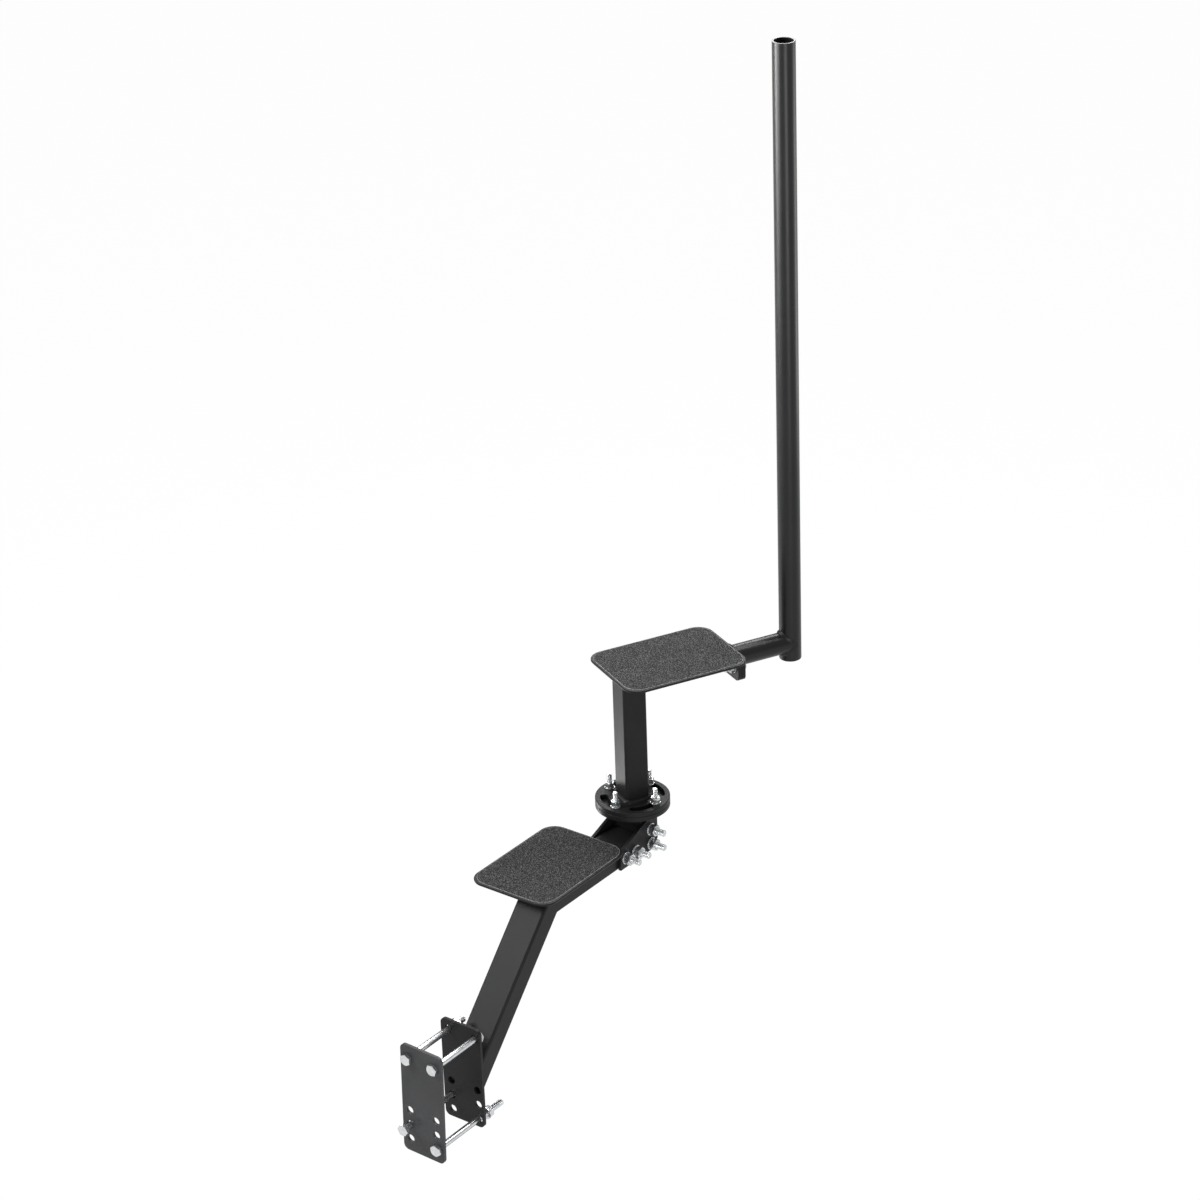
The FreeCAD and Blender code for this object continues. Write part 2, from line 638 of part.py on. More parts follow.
upper_disc = new_body("upper_disc")
rim = new_sketch(upper_disc, "XY_Plane", "upper_disc_rim")
add_circle(rim, None, None, "Sizes.disc_size")
add_pad(upper_disc, rim, "upper_disc_pad", "Sizes.disc_thick")
slot = new_sketch(upper_disc, "XY_Plane", "upper_disc_slot")
half = math.radians(VALUE["slot_half_angle"])
radius = VALUE["bolt_circle"] / 2
cap = (VALUE["small_bolt"] + VALUE["slot_play"]) / 2
centre = FreeCAD.Vector(0, 0, 0)
for size in (radius + cap, radius - cap):
    slot.addGeometry(Part.ArcOfCircle(Part.Circle(centre, AXIS_Z, size), -half, half), False)
for sign, low in ((1, half), (-1, math.pi - half)):
    spot = FreeCAD.Vector(radius * math.cos(half), sign * radius * math.sin(half), 0)
    slot.addGeometry(Part.ArcOfCircle(Part.Circle(spot, AXIS_Z, cap), low, low + math.pi), False)
slot.addConstraint(Sketcher.Constraint("Coincident", 0, 3, -1, 1))
slot.addConstraint(Sketcher.Constraint("Coincident", 1, 3, -1, 1))
slot.addConstraint(Sketcher.Constraint("Tangent", 0, 2, 2, 1))
slot.addConstraint(Sketcher.Constraint("Tangent", 1, 2, 2, 2))
slot.addConstraint(Sketcher.Constraint("Tangent", 0, 1, 3, 2))
slot.addConstraint(Sketcher.Constraint("Tangent", 1, 1, 3, 1))
bind(slot, Sketcher.Constraint("Radius", 0, radius + cap), "(Sizes.bolt_circle + %s) / 2" % SLOT_WIDE)
bind(slot, Sketcher.Constraint("Radius", 2, cap), SLOT_WIDE + " / 2")
for geo, sign in ((2, 1), (3, -1)):
    bind(slot, Sketcher.Constraint("DistanceY", -1, 1, geo, 3, sign * radius * math.sin(half)),
         "%d * Sizes.bolt_circle / 2 * sin(Sizes.slot_half_angle * 1 deg)" % sign)
slot_cut = add_pocket(upper_disc, slot, "upper_disc_slot_cut")
around = upper_disc.newObject("PartDesign::PolarPattern", "upper_disc_slots")
around.Originals = [slot_cut]
around.Axis = (slot, ["N_Axis"])
around.Angle = 360
around.Occurrences = 4
upper_disc.Tip = around
doc.recompute()
turn_upper(upper_disc)
place(upper_disc, "0", SWIVEL_AXIS, UPPER_DISC)

SWIVEL_SPOTS = [
    ("Sizes.bolt_circle / 2", SWIVEL_AXIS),
    ("0", SWIVEL_AXIS + " + Sizes.bolt_circle / 2"),
    ("-Sizes.bolt_circle / 2", SWIVEL_AXIS),
    ("0", SWIVEL_AXIS + " - Sizes.bolt_circle / 2"),
]
SWIVEL_WASHER = POST_FOOT + " + Sizes.small_washer_thick"
swivel_bolts, swivel_washers, swivel_locks, swivel_nuts = [], [], [], []
for number, (along_x, along_y) in enumerate(SWIVEL_SPOTS, start=1):
    one = bolt("swivel_bolt_%d" % number, "Sizes.small_bolt", "Sizes.small_flats", "Sizes.small_head",
               "Sizes.swivel_bolt_length")
    place(one, along_x, along_y, "Sizes.swivel_level")
    swivel_bolts.append(one)
    one = washer("swivel_washer_%d" % number, "Sizes.small_bolt", "Sizes.small_washer",
                 "Sizes.small_washer_thick")
    place(one, along_x, along_y, POST_FOOT)
    swivel_washers.append(one)
    one = lock_washer("swivel_lock_%d" % number, "Sizes.small_bolt", "Sizes.small_lock_ring",
                      "Sizes.small_lock_thick")
    place(one, along_x, along_y, SWIVEL_WASHER)
    swivel_locks.append(one)
    one = nut("swivel_nut_%d" % number, "Sizes.small_bolt", "Sizes.small_flats", "Sizes.small_nut")
    turned(one, -AXIS_Z)
    place(one, along_x, along_y, SWIVEL_WASHER + " + Sizes.small_lock_thick")
    swivel_nuts.append(one)
group("swivel_bolts", swivel_bolts)
group("swivel_washers", swivel_washers)
group("swivel_lock_washers", swivel_locks)
group("swivel_nuts", swivel_nuts)

# Post and upper step, turned about the swivel axis.
post = upright_tube("post", "Sizes.post_side", "Sizes.post_side", "Sizes.post_wall", "Sizes.post_round",
                    "Sizes.post_length")
turn_upper(post)
place_upper(post, "0", "0", POST_FOOT)

UPPER_MID = "Sizes.step_long / 2 - Sizes.upper_step_back"
upper_step = step_plate("upper_step", "Sizes.step_long", "Sizes.step_wide", "Sizes.step_thick",
                        "Sizes.step_corner")
turn_upper(upper_step)
place_upper(upper_step, UPPER_MID, "0", UPPER_LEVEL)
upper_tread = step_plate("upper_tread", TREAD_LONG, TREAD_WIDE, "Sizes.tread_thick",
                         "Sizes.tread_corner")
turn_upper(upper_tread)
place_upper(upper_tread, UPPER_MID, "0", UPPER_LEVEL + " + " + TREAD_RISE)


# Handrail: tab under the step, base plate bolted to it, level rail and pole.
def rail_plate(name, tall, along, top):
    body = new_body(name)
    outline = new_sketch(body, "XZ_Plane", name + "_outline")
    add_rectangle(outline, "Sizes.tab_wide", tall)
    pad = add_pad(body, outline, name + "_pad", "Sizes.tab_thick")
    middle = pad.Shape.BoundBox.ZMax

    def low_corner(way, spot):
        return abs(way.dot(AXIS_Y)) > 0.999 and spot.z < middle - 1

    add_fillet(body, pad, name + "_corners", "Sizes.tab_corner", low_corner)
    holes = new_sketch(body, "XZ_Plane", name + "_holes")
    for side in ("-", ""):
        bolt_level = "%s / 2 + (%s) - Sizes.rail_drop" % (tall, top)
        add_circle(holes, side + "Sizes.rail_bolt_pitch / 2", bolt_level, SMALL_HOLE)
    add_pocket(body, holes, name + "_drill")
    turn_upper(body)
    place_upper(body, along, "0", "%s - %s / 2 - (%s)" % (UPPER_LEVEL, tall, top))


TAB_FACE = "(%s - Sizes.tab_setback)" % STEP_TIP
rail_plate("rail_tab", "Sizes.tab_drop", TAB_FACE, "0")
BASE_TALL = "(Sizes.tab_drop - Sizes.base_gap)"
BASE_FRONT = "(%s + Sizes.tab_thick)" % TAB_FACE
POLE_AXIS = "(%s + Sizes.rail_length)" % BASE_FRONT
rail_plate("rail_base", BASE_TALL, BASE_FRONT, "Sizes.base_gap")

TAB_BACK = "(%s - Sizes.tab_thick)" % TAB_FACE
RAIL_NUT_FACE = TAB_BACK + " - Sizes.small_washer_thick"
rail_bolts, rail_washers, rail_nuts = [], [], []


def lay_along(item, backward):
    """Lay a fastener along the upper step, turned with it."""
    quarter = FreeCAD.Rotation(AXIS_X, 90 if backward else -90)
    item.Placement = FreeCAD.Placement(FreeCAD.Vector(), quarter)


def turned_copy(name, item, along, across, level):
    """Wrap a laid fastener so that it turns and moves with the upper step."""
    wrap = doc.addObject("Part::Compound", name)
    wrap.Links = [item]
    turn_upper(wrap)
    place_upper(wrap, along, across, level)
    return wrap


for number, side in enumerate(("-", ""), start=1):
    across = side + "Sizes.rail_bolt_pitch / 2"
    one = bolt("rail_bolt_piece_%d" % number, "Sizes.small_bolt", "Sizes.small_flats", "Sizes.small_head",
               "Sizes.rail_bolt_length")
    lay_along(one, True)
    rail_bolts.append(turned_copy("rail_bolt_%d" % number, one, BASE_FRONT, across, RAIL_LEVEL))
    one = washer("rail_washer_piece_%d" % number, "Sizes.small_bolt", "Sizes.small_washer",
                 "Sizes.small_washer_thick")
    lay_along(one, True)
    rail_washers.append(turned_copy("rail_washer_%d" % number, one, TAB_BACK, across, RAIL_LEVEL))
    one = nut("rail_nut_piece_%d" % number, "Sizes.small_bolt", "Sizes.small_flats", "Sizes.small_nut")
    lay_along(one, False)
    rail_nuts.append(turned_copy("rail_nut_%d" % number, one, RAIL_NUT_FACE, across, RAIL_LEVEL))
group("rail_bolts", rail_bolts)
group("rail_washers", rail_washers)
group("rail_nuts", rail_nuts)

# Level rail: tube from the base plate, coped to the pole.
rail = new_body("rail")
ring = new_sketch(rail, "XZ_Plane", "rail_ring")
add_circle(ring, None, None, "Sizes.pole_size")
add_circle(ring, None, None, "Sizes.pole_size - 2 * Sizes.pole_wall")
add_pad(rail, ring, "rail_pad", "Sizes.rail_length")
cope = new_sketch(rail, "XY_Plane", "rail_cope", "-Sizes.pole_size")
add_circle(cope, None, None, "Sizes.pole_size + 2 * Sizes.cope_gap")
add_pocket(rail, cope, "rail_cope_cut")
turn_upper(rail)
place_upper(rail, POLE_AXIS, "0", RAIL_LEVEL)

pole = new_body("pole")
ring = new_sketch(pole, "XY_Plane", "pole_ring")
add_circle(ring, None, None, "Sizes.pole_size")
add_circle(ring, None, None, "Sizes.pole_size - 2 * Sizes.pole_wall")
add_pad(pole, ring, "pole_pad", "Sizes.pole_length")
turn_upper(pole)
place_upper(pole, POLE_AXIS, "0", RAIL_LEVEL + " - Sizes.pole_tail")

doc.recompute()

# Check every object, then write one file for each node.
for item in doc.Objects:
    if "Invalid" in item.State or "Error" in item.State:
        raise RuntimeError("bad state: " + item.Name)
for item in nodes:
    if item.Shape.isNull() or not item.Shape.isValid():
        raise RuntimeError("bad shape: " + item.Name)

os.makedirs("parts", exist_ok=True)
for item in nodes:
    item.Shape.exportStep("parts/%s.step" % item.Label)
    box = item.Shape.BoundBox
    print("%-20s solids %d volume %.0f x %.1f..%.1f y %.1f..%.1f z %.1f..%.1f" % (
        item.Label, len(item.Shape.Solids), item.Shape.Volume, box.XMin, box.XMax, box.YMin, box.YMax,
        box.ZMin, box.ZMax))
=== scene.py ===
import math

import bmesh
import bpy
import numpy as np
from mathutils import Matrix, Vector


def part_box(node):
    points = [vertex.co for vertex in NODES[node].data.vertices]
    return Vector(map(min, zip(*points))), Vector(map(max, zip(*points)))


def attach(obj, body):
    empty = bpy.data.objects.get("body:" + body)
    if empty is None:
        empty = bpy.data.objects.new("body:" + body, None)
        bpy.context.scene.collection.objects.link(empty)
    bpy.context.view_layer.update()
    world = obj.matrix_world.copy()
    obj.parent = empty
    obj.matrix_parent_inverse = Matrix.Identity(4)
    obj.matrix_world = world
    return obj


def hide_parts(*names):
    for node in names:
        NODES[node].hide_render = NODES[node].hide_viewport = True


# Boarding step for a boat trailer: finish, fastener detail, grit treads and weld beads
# around the fixed frame. Lengths are metres, angles degrees unless a name says otherwise.

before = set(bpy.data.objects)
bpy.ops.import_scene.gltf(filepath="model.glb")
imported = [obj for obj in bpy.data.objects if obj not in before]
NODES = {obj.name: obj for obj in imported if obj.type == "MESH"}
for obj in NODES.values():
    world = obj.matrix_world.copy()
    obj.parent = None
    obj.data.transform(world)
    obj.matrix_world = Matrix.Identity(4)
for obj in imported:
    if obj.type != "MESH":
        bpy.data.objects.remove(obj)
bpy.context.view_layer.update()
AXIS_X, AXIS_Y, AXIS_Z = Vector((1, 0, 0)), Vector((0, 1, 0)), Vector((0, 0, 1))
MERGE_DISTANCE = 1e-6

# Fastener sizes
M10 = {"size": 0.010, "pitch": 0.0015, "flats": 0.017, "head": 0.0064}
M8 = {"size": 0.008, "pitch": 0.00125, "flats": 0.013, "head": 0.0053}

# Coated edges
EDGE_ROUND = 0.0007
WASHER_ROUND = EDGE_ROUND / 3
STEP_EDGE_ROUND = 0.0013
DISC_EDGE_ROUND = 0.0019
EDGE_SEGMENTS = 2
SHARP_EDGE = 40
FLAT_ANGLE = 0.4

# Camera
CAMERA_TARGET = Vector((-0.04863, 0.43813, 0.52819))
CAMERA_AZIMUTH = 37.79
CAMERA_ELEVATION = 26.03
CAMERA_ROLL = 2.06
CAMERA_DISTANCE = 5.6046
CAMERA_LENS = 110.48
CAMERA_CLIP_END = 600.0
SENSOR_WIDTH = 36.0

# Floor: FLOOR_WHITE is the share of plain white, the rest shows light and shadow
FLOOR_LEVEL = -0.5
FLOOR_SIZE = 400.0
FLOOR_WHITE = 0.97
FLOOR_TONE = 0.86


# Materials
def new_material(name):
    material = bpy.data.materials.new(name)
    material.use_nodes = True
    tree = material.node_tree
    return material, tree, tree.nodes["Principled BSDF"]


def add_node(tree, kind, **inputs):
    node = tree.nodes.new(kind)
    for key, value in inputs.items():
        node.inputs[key.replace("_", " ")].default_value = value
    return node


def noise(tree, scale, detail, coordinates):
    node = add_node(tree, "ShaderNodeTexNoise", Scale=scale, Detail=detail)
    tree.links.new(coordinates, node.inputs["Vector"])
    return node.outputs["Fac"]


def ramp(tree, factor, stops):
    node = tree.nodes.new("ShaderNodeValToRGB")
    elements = node.color_ramp.elements
    while len(elements) < len(stops):
        elements.new(0.5)
    for element, (position, colour) in zip(elements, stops):
        element.position = position
        element.color = (*colour, 1.0)
    tree.links.new(factor, node.inputs["Fac"])
    return node.outputs["Color"]


def map_range(tree, factor, low, high):
    node = add_node(tree, "ShaderNodeMapRange", To_Min=low, To_Max=high)
    tree.links.new(factor, node.inputs["Value"])
    return node.outputs["Result"]


def bump(tree, height, strength, distance, normal=None):
    node = add_node(tree, "ShaderNodeBump", Strength=strength, Distance=distance)
    tree.links.new(height, node.inputs["Height"])
    if normal is not None:
        tree.links.new(normal, node.inputs["Normal"])
    return node.outputs["Normal"]


def object_place(tree):
    return tree.nodes.new("ShaderNodeTexCoord").outputs["Object"]


def cool_grey(tone):
    """A very slightly blue grey."""
    return tone, 1.02 * tone, 1.06 * tone


def black_coat(name, tone, gloss, rough, peel):
    """Satin black powder coat: slight orange peel, fine grain, uneven sheen."""
    material, tree, shader = new_material(name)
    place = object_place(tree)
    cloud = noise(tree, 14.0, 3.0, place)
    grain = noise(tree, 900.0, 2.0, place)
    shade = ramp(tree, cloud, [(0.3, cool_grey(0.82 * tone)), (0.7, cool_grey(1.18 * tone))])
    tree.links.new(shade, shader.inputs["Base Color"])
    shader.inputs["Specular IOR Level"].default_value = gloss
    tree.links.new(map_range(tree, cloud, *rough), shader.inputs["Roughness"])
    coarse = bump(tree, noise(tree, 260.0, 2.0, place), peel, 0.0004)
    tree.links.new(bump(tree, grain, peel, 0.0002, coarse), shader.inputs["Normal"])
    return material


def grit_material():
    """Mineral grit in dark binder: light and dark grains under a millimetre wide."""
    material, tree, shader = new_material("grit")
    place = object_place(tree)
    cells = add_node(tree, "ShaderNodeTexVoronoi", Scale=1250.0)
    tree.links.new(place, cells.inputs["Vector"])
    split = tree.nodes.new("ShaderNodeSeparateColor")
    tree.links.new(cells.outputs["Color"], split.inputs["Color"])
    shade = ramp(tree, split.outputs["Red"], [
        (0.0, (0.004, 0.004, 0.0042)),
        (0.45, (0.017, 0.0172, 0.0172)),
        (0.80, (0.042, 0.0424, 0.0424)),
        (1.0, (0.165, 0.166, 0.167))])
    tree.links.new(shade, shader.inputs["Base Color"])
    shader.inputs["Specular IOR Level"].default_value = 0.12
    tree.links.new(map_range(tree, split.outputs["Green"], 0.65, 0.95), shader.inputs["Roughness"])
    grains = bump(tree, cells.outputs["Distance"], 0.9, 0.0007)
    grains.node.invert = True
    fine = bump(tree, noise(tree, 1900.0, 3.0, place), 0.5, 0.0004, grains)
    tree.links.new(fine, shader.inputs["Normal"])
    return material


def zinc_material():
    """Bright zinc plating: pale bluish steel, faint mottling and fine scratches."""
    material, tree, shader = new_material("zinc")
    place = object_place(tree)
    cloud = noise(tree, 160.0, 3.0, place)
    shade = ramp(tree, cloud, [(0.3, (0.60, 0.615, 0.625)), (0.7, (0.73, 0.745, 0.755))])
    tree.links.new(shade, shader.inputs["Base Color"])
    shader.inputs["Metallic"].default_value = 0.93
    shader.inputs["Specular Tint"].default_value = (0.10, 0.12, 0.14, 1.0)
    tree.links.new(map_range(tree, cloud, 0.15, 0.24), shader.inputs["Roughness"])
    scratches = bump(tree, noise(tree, 1500.0, 2.0, place), 0.05, 0.0002)
    tree.links.new(scratches, shader.inputs["Normal"])
    return material


def tape_highlight_material():
    """Cut edge of the grit tape: pale backing with dark grains caught in it, made paler as a painted
    highlight of the lit tread edge.
    """
    material, tree, shader = new_material("tape_edge_highlight")
    shade = ramp(tree, noise(tree, 420.0, 2.0, object_place(tree)), [
        (0.35, (0.07, 0.07, 0.0715)), (0.6, (0.28, 0.28, 0.2835))])
    tree.links.new(shade, shader.inputs["Base Color"])
    shader.inputs["Roughness"].default_value = 0.6
    return material


COAT = black_coat("black_coat", tone=0.0105, gloss=0.145, rough=(0.36, 0.46), peel=0.16)
# Lit copy of the black coat for the front plate: its lighter tone is painted light, and the back plate
# keeps the plain coat as painted shade.
LIT_PLATE_COAT = black_coat("lit_plate_coat", tone=0.040, gloss=0.24, rough=(0.40, 0.52), peel=0.20)
TUBE_COAT = black_coat("tube_coat", tone=0.0060, gloss=0.28, rough=(0.31, 0.36), peel=0.03)
WELD_COAT = black_coat("weld_coat", tone=0.0060, gloss=0.22, rough=(0.38, 0.48), peel=0.10)
GRIT = grit_material()
# Pale tape edge: partly the tape's own cut edge, partly a painted highlight of the lit tread rim.
TAPE_HIGHLIGHT = tape_highlight_material()
ZINC = zinc_material()


# Coated solids: merged corners and a small round on every sharp edge.
def dress(name, material, edge):
    item = NODES[name]
    item.data.materials.clear()
    item.data.materials.append(material)
    weld = item.modifiers.new("merge", "WELD")
    weld.merge_threshold = MERGE_DISTANCE
    flat = item.modifiers.new("flat", "DECIMATE")
    flat.decimate_type = "DISSOLVE"
    flat.angle_limit = math.radians(FLAT_ANGLE)
    rounding = item.modifiers.new("edges", "BEVEL")
    rounding.width = edge
    rounding.segments = EDGE_SEGMENTS
    rounding.limit_method = "ANGLE"
    rounding.angle_limit = math.radians(SHARP_EDGE)
    normals = item.modifiers.new("normals", "WEIGHTED_NORMAL")
    normals.weight = 100


for name in ("arm_sloping", "arm_level", "knuckle_plate_left", "knuckle_plate_right", "swivel_stub",
             "post", "rail_tab", "rail_base"):
    dress(name, COAT, EDGE_ROUND)
for name in ("lower_disc", "upper_disc"):
    dress(name, COAT, DISC_EDGE_ROUND)
for name in ("lower_step", "upper_step"):
    dress(name, COAT, STEP_EDGE_ROUND)
dress("back_plate", COAT, EDGE_ROUND)
# The front plate's lighter coat is painted light.
dress("front_plate", LIT_PLATE_COAT, EDGE_ROUND)
for name in ("rail", "pole"):
    dress(name, TUBE_COAT, EDGE_ROUND)
for name in ("clamp_washers", "knuckle_washers", "knuckle_lock_washers", "swivel_washers",
             "swivel_lock_washers", "rail_washers"):
    dress(name, ZINC, WASHER_ROUND)


# New pieces
def add_piece(name, points, faces, material, body, sharp):
    mesh = bpy.data.meshes.new(name)
    mesh.from_pydata(points, [], faces)
    mesh.materials.append(material)
    shell = bmesh.new()
    shell.from_mesh(mesh)
    bmesh.ops.recalc_face_normals(shell, faces=shell.faces)
    shell.to_mesh(mesh)
    shell.free()
    mesh.shade_smooth()
    mesh.set_sharp_from_angle(angle=math.radians(sharp))
    piece = bpy.data.objects.new(name, mesh)
    bpy.context.scene.collection.objects.link(piece)
    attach(piece, body)
    return piece


def islands(node):
    """Vertex positions of each separate solid in a node."""
    shell = bmesh.new()
    shell.from_mesh(NODES[node].data)
    bmesh.ops.remove_doubles(shell, verts=shell.verts, dist=MERGE_DISTANCE)
    shell.verts.ensure_lookup_table()
    seen, found = set(), []
    for start in shell.verts:
        if start.index in seen:
            continue
        stack, members = [start], []
        seen.add(start.index)
        while stack:
            vert = stack.pop()
            members.append(vert.co.copy())
            for edge in vert.link_edges:
                other = edge.other_vert(vert)
                if other.index not in seen:
                    seen.add(other.index)
                    stack.append(other)
        found.append(np.array(members))
    shell.free()
    return found


def spans(node, way):
    """Foot point and length of each solid in a node, measured along a direction."""
    way = np.array(way)
    side = np.array(Vector(way).orthogonal().normalized())
    third = np.cross(way, side)
    found = []
    for points in islands(node):
        along, left, up = points @ way, points @ side, points @ third
        middle = (left.min() + left.max()) / 2 * side + (up.min() + up.max()) / 2 * third
        found.append((Vector(middle + along.min() * way), along.max() - along.min()))
    return found


def flat_extent(node, way):
    values = [vert.co.dot(way) for vert in NODES[node].data.vertices]
    return min(values), max(values)


def centre_of(node):
    low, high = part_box(node)
    return (low + high) / 2


SWIVEL = centre_of("lower_disc")
POLE = centre_of("pole")
ALONG = Vector((POLE.x - SWIVEL.x, POLE.y - SWIVEL.y, 0)).normalized()
ACROSS = AXIS_Z.cross(ALONG)

# Bolts and nuts are stacks of rings, each a list of (radius, level) round the axis.
HEX_STEPS = 36
HEX_ANGLES = [2 * math.pi * step / HEX_STEPS for step in range(HEX_STEPS)]
HEX_SHARP = 28
HEX_TURN = 17            # each fastener of a set is turned this much further than the last
CHAMFER_TAN = math.tan(math.radians(30))
CHAMFER_CIRCLE = 0.97    # share of half the flats where the chamfer starts
FACE_RADIUS = 0.485      # share of the flats, for the end faces of heads and nuts
SEAT_RADIUS = 0.475      # the same for the raised seat under a head
HEAD_MIDDLE = 0.30       # the same for the middle of a head
SEAT_HEIGHT = 0.0004
THREAD_STEPS = 6         # rings a turn
THREAD_DEPTH = 0.61      # share of the pitch
THREAD_FLANK = 1.15
END_CHAMFER = 0.7        # share of the pitch
END_TAPER = 0.8          # share of the chamfer
END_MIDDLE = 0.3         # share of the shank's radius
NUT_LEAD = 0.6           # share of the pitch
NUT_PLAY = 0.0001


def hex_radius(angle, flats):
    sixth = math.pi / 3
    return flats / 2 / math.cos((angle + sixth / 2) % sixth - sixth / 2)


def even_ring(radius, level):
    return [(radius, level) for _ in HEX_ANGLES]


def hex_ring(flats, level, drop_sign):
    """Ring on the six flats, pulled in from a level where the chamfer cuts the corners."""
    rounded = flats / 2 * CHAMFER_CIRCLE
    ring = []
    for angle in HEX_ANGLES:
        radius = hex_radius(angle, flats)
        ring.append((radius, level + drop_sign * (radius - rounded) * CHAMFER_TAN))
    return ring


def thread_rings(kind, start, end):
    """Rings of a helical thread that fades out at both ends."""
    pitch, outer = kind["pitch"], kind["size"] / 2
    depth = THREAD_DEPTH * pitch
    count = int((end - start) / pitch * THREAD_STEPS)
    rings = []
    for number in range(count + 1):
        level = start + (end - start) * number / count
        fade = min(1.0, (level - start) / pitch, (end - level) / pitch)
        ring = []
        for angle in HEX_ANGLES:
            phase = (level / pitch - angle / (2 * math.pi)) % 1.0
            cut = max(0.0, 1.0 - abs(2 * phase - 1) * THREAD_FLANK)
            ring.append((outer - depth * cut * fade, level))
        rings.append(ring)
    return rings


def bolt_rings(kind, length, thread):
    """Rings from the top of the head at minus head height to the end of the shank."""
    top, flats, radius = -kind["head"], kind["flats"], kind["size"] / 2
    seat, face = flats * SEAT_RADIUS, flats * FACE_RADIUS
    chamfer = kind["pitch"] * END_CHAMFER
    rings = [even_ring(flats * HEAD_MIDDLE, top), even_ring(face, top), hex_ring(flats, top, 1)]
    rings.append([(reach, -SEAT_HEIGHT) for reach, _ in hex_ring(flats, 0, 0)])
    rings += [even_ring(seat, -SEAT_HEIGHT), even_ring(seat, 0)]
    rings += [even_ring(radius + SEAT_HEIGHT, 0), even_ring(radius, SEAT_HEIGHT)]
    rings += thread_rings(kind, length - thread, length - chamfer)
    rings += [even_ring(radius - chamfer * END_TAPER, length), even_ring(radius * END_MIDDLE, length)]
    return rings


def nut_rings(kind, tall):
    """Closed section of a chamfered nut, starting and ending in its bore."""
    flats = kind["flats"]
    bore = kind["size"] / 2 + NUT_PLAY
    lead = kind["pitch"] * NUT_LEAD
    face = flats * FACE_RADIUS
    return [
        even_ring(bore, lead), even_ring(bore + lead, 0), even_ring(face, 0),
        hex_ring(flats, 0, 1), hex_ring(flats, tall, -1), even_ring(face, tall),
        even_ring(bore + lead, tall), even_ring(bore, tall - lead)]


def fastener_set(name, node, way, kind, body, thread_start=None):
    """All bolts or nuts of a node, each in its CAD place, as one piece.

    Bolts carry thread from a given place along their direction to their end.
    """
    turn = AXIS_Z.rotation_difference(way).to_matrix()
    points, faces = [], []
    for number, (foot, length) in enumerate(spans(node, way)):
        is_nut = thread_start is None
        if is_nut:
            rings, lift = nut_rings(kind, length), 0.0
        else:
            thread = foot.dot(way) + length - thread_start
            rings, lift = bolt_rings(kind, length - kind["head"], thread), kind["head"]
        twist = math.radians(HEX_TURN * number)
        first = len(points)
        for ring in rings:
            for angle, (radius, level) in zip(HEX_ANGLES, ring):
                x = radius * math.cos(angle + twist)
                y = radius * math.sin(angle + twist)
                points.append(foot + turn @ Vector((x, y, level + lift)))
        rows = len(rings)
        for row in range(rows if is_nut else rows - 1):
            low, high = first + row * HEX_STEPS, first + (row + 1) % rows * HEX_STEPS
            for step in range(HEX_STEPS):
                after = (step + 1) % HEX_STEPS
                faces.append((low + step, low + after, high + after, high + step))
        if not is_nut:
            last = first + (rows - 1) * HEX_STEPS
            faces.append(tuple(first + step for step in range(HEX_STEPS)))
            faces.append(tuple(last + step for step in range(HEX_STEPS)))
    piece = add_piece(name, points, faces, ZINC, body, HEX_SHARP)
    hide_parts(node)


CLAMP_THREAD_START = 0.004
KNUCKLE_THREAD_START = 0.0245
SWIVEL_THREAD_START = 0.200
RAIL_THREAD = 0.020
rail_tip = flat_extent("rail_bolts", -ALONG)[1]
fastener_set("clamp_bolt_set", "clamp_bolts", AXIS_Y, M10, "base", CLAMP_THREAD_START)
fastener_set("clamp_nut_set", "clamp_nuts", AXIS_Y, M10, "base")
fastener_set("knuckle_bolt_set", "knuckle_bolts", AXIS_X, M10, "base", KNUCKLE_THREAD_START)
fastener_set("knuckle_nut_set", "knuckle_nuts", AXIS_X, M10, "base")
fastener_set("swivel_bolt_set", "swivel_bolts", AXIS_Z, M8, "base", SWIVEL_THREAD_START)
fastener_set("swivel_nut_set", "swivel_nuts", AXIS_Z, M8, "base")
fastener_set("rail_bolt_set", "rail_bolts", -ALONG, M8, "upper", rail_tip - RAIL_THREAD)
fastener_set("rail_nut_set", "rail_nuts", -ALONG, M8, "upper")

# Grit treads: rounded sheet with a grainy top.
GRIT_STEP = 0.0010
GRIT_HEIGHT = 0.0003
GRIT_SINK = 0.0003       # the rim lies this far under the CAD tread's top
GRIT_SEED = 7
GRIT_SHARP = 60
TAPE_EDGE = 0.0006
TAPE_SHARP = 50
TAPE_CORNER_STEPS = 12
# Section of the tape's edge: shares of its width inwards and of the tread's thickness upwards
TAPE_SECTION = ((0.0, 0.0), (0.0, 0.75), (0.3, 0.97), (0.7, 0.97), (1.0, 0.6), (1.0, 0.0))
TREAD_CORNER = 0.0265


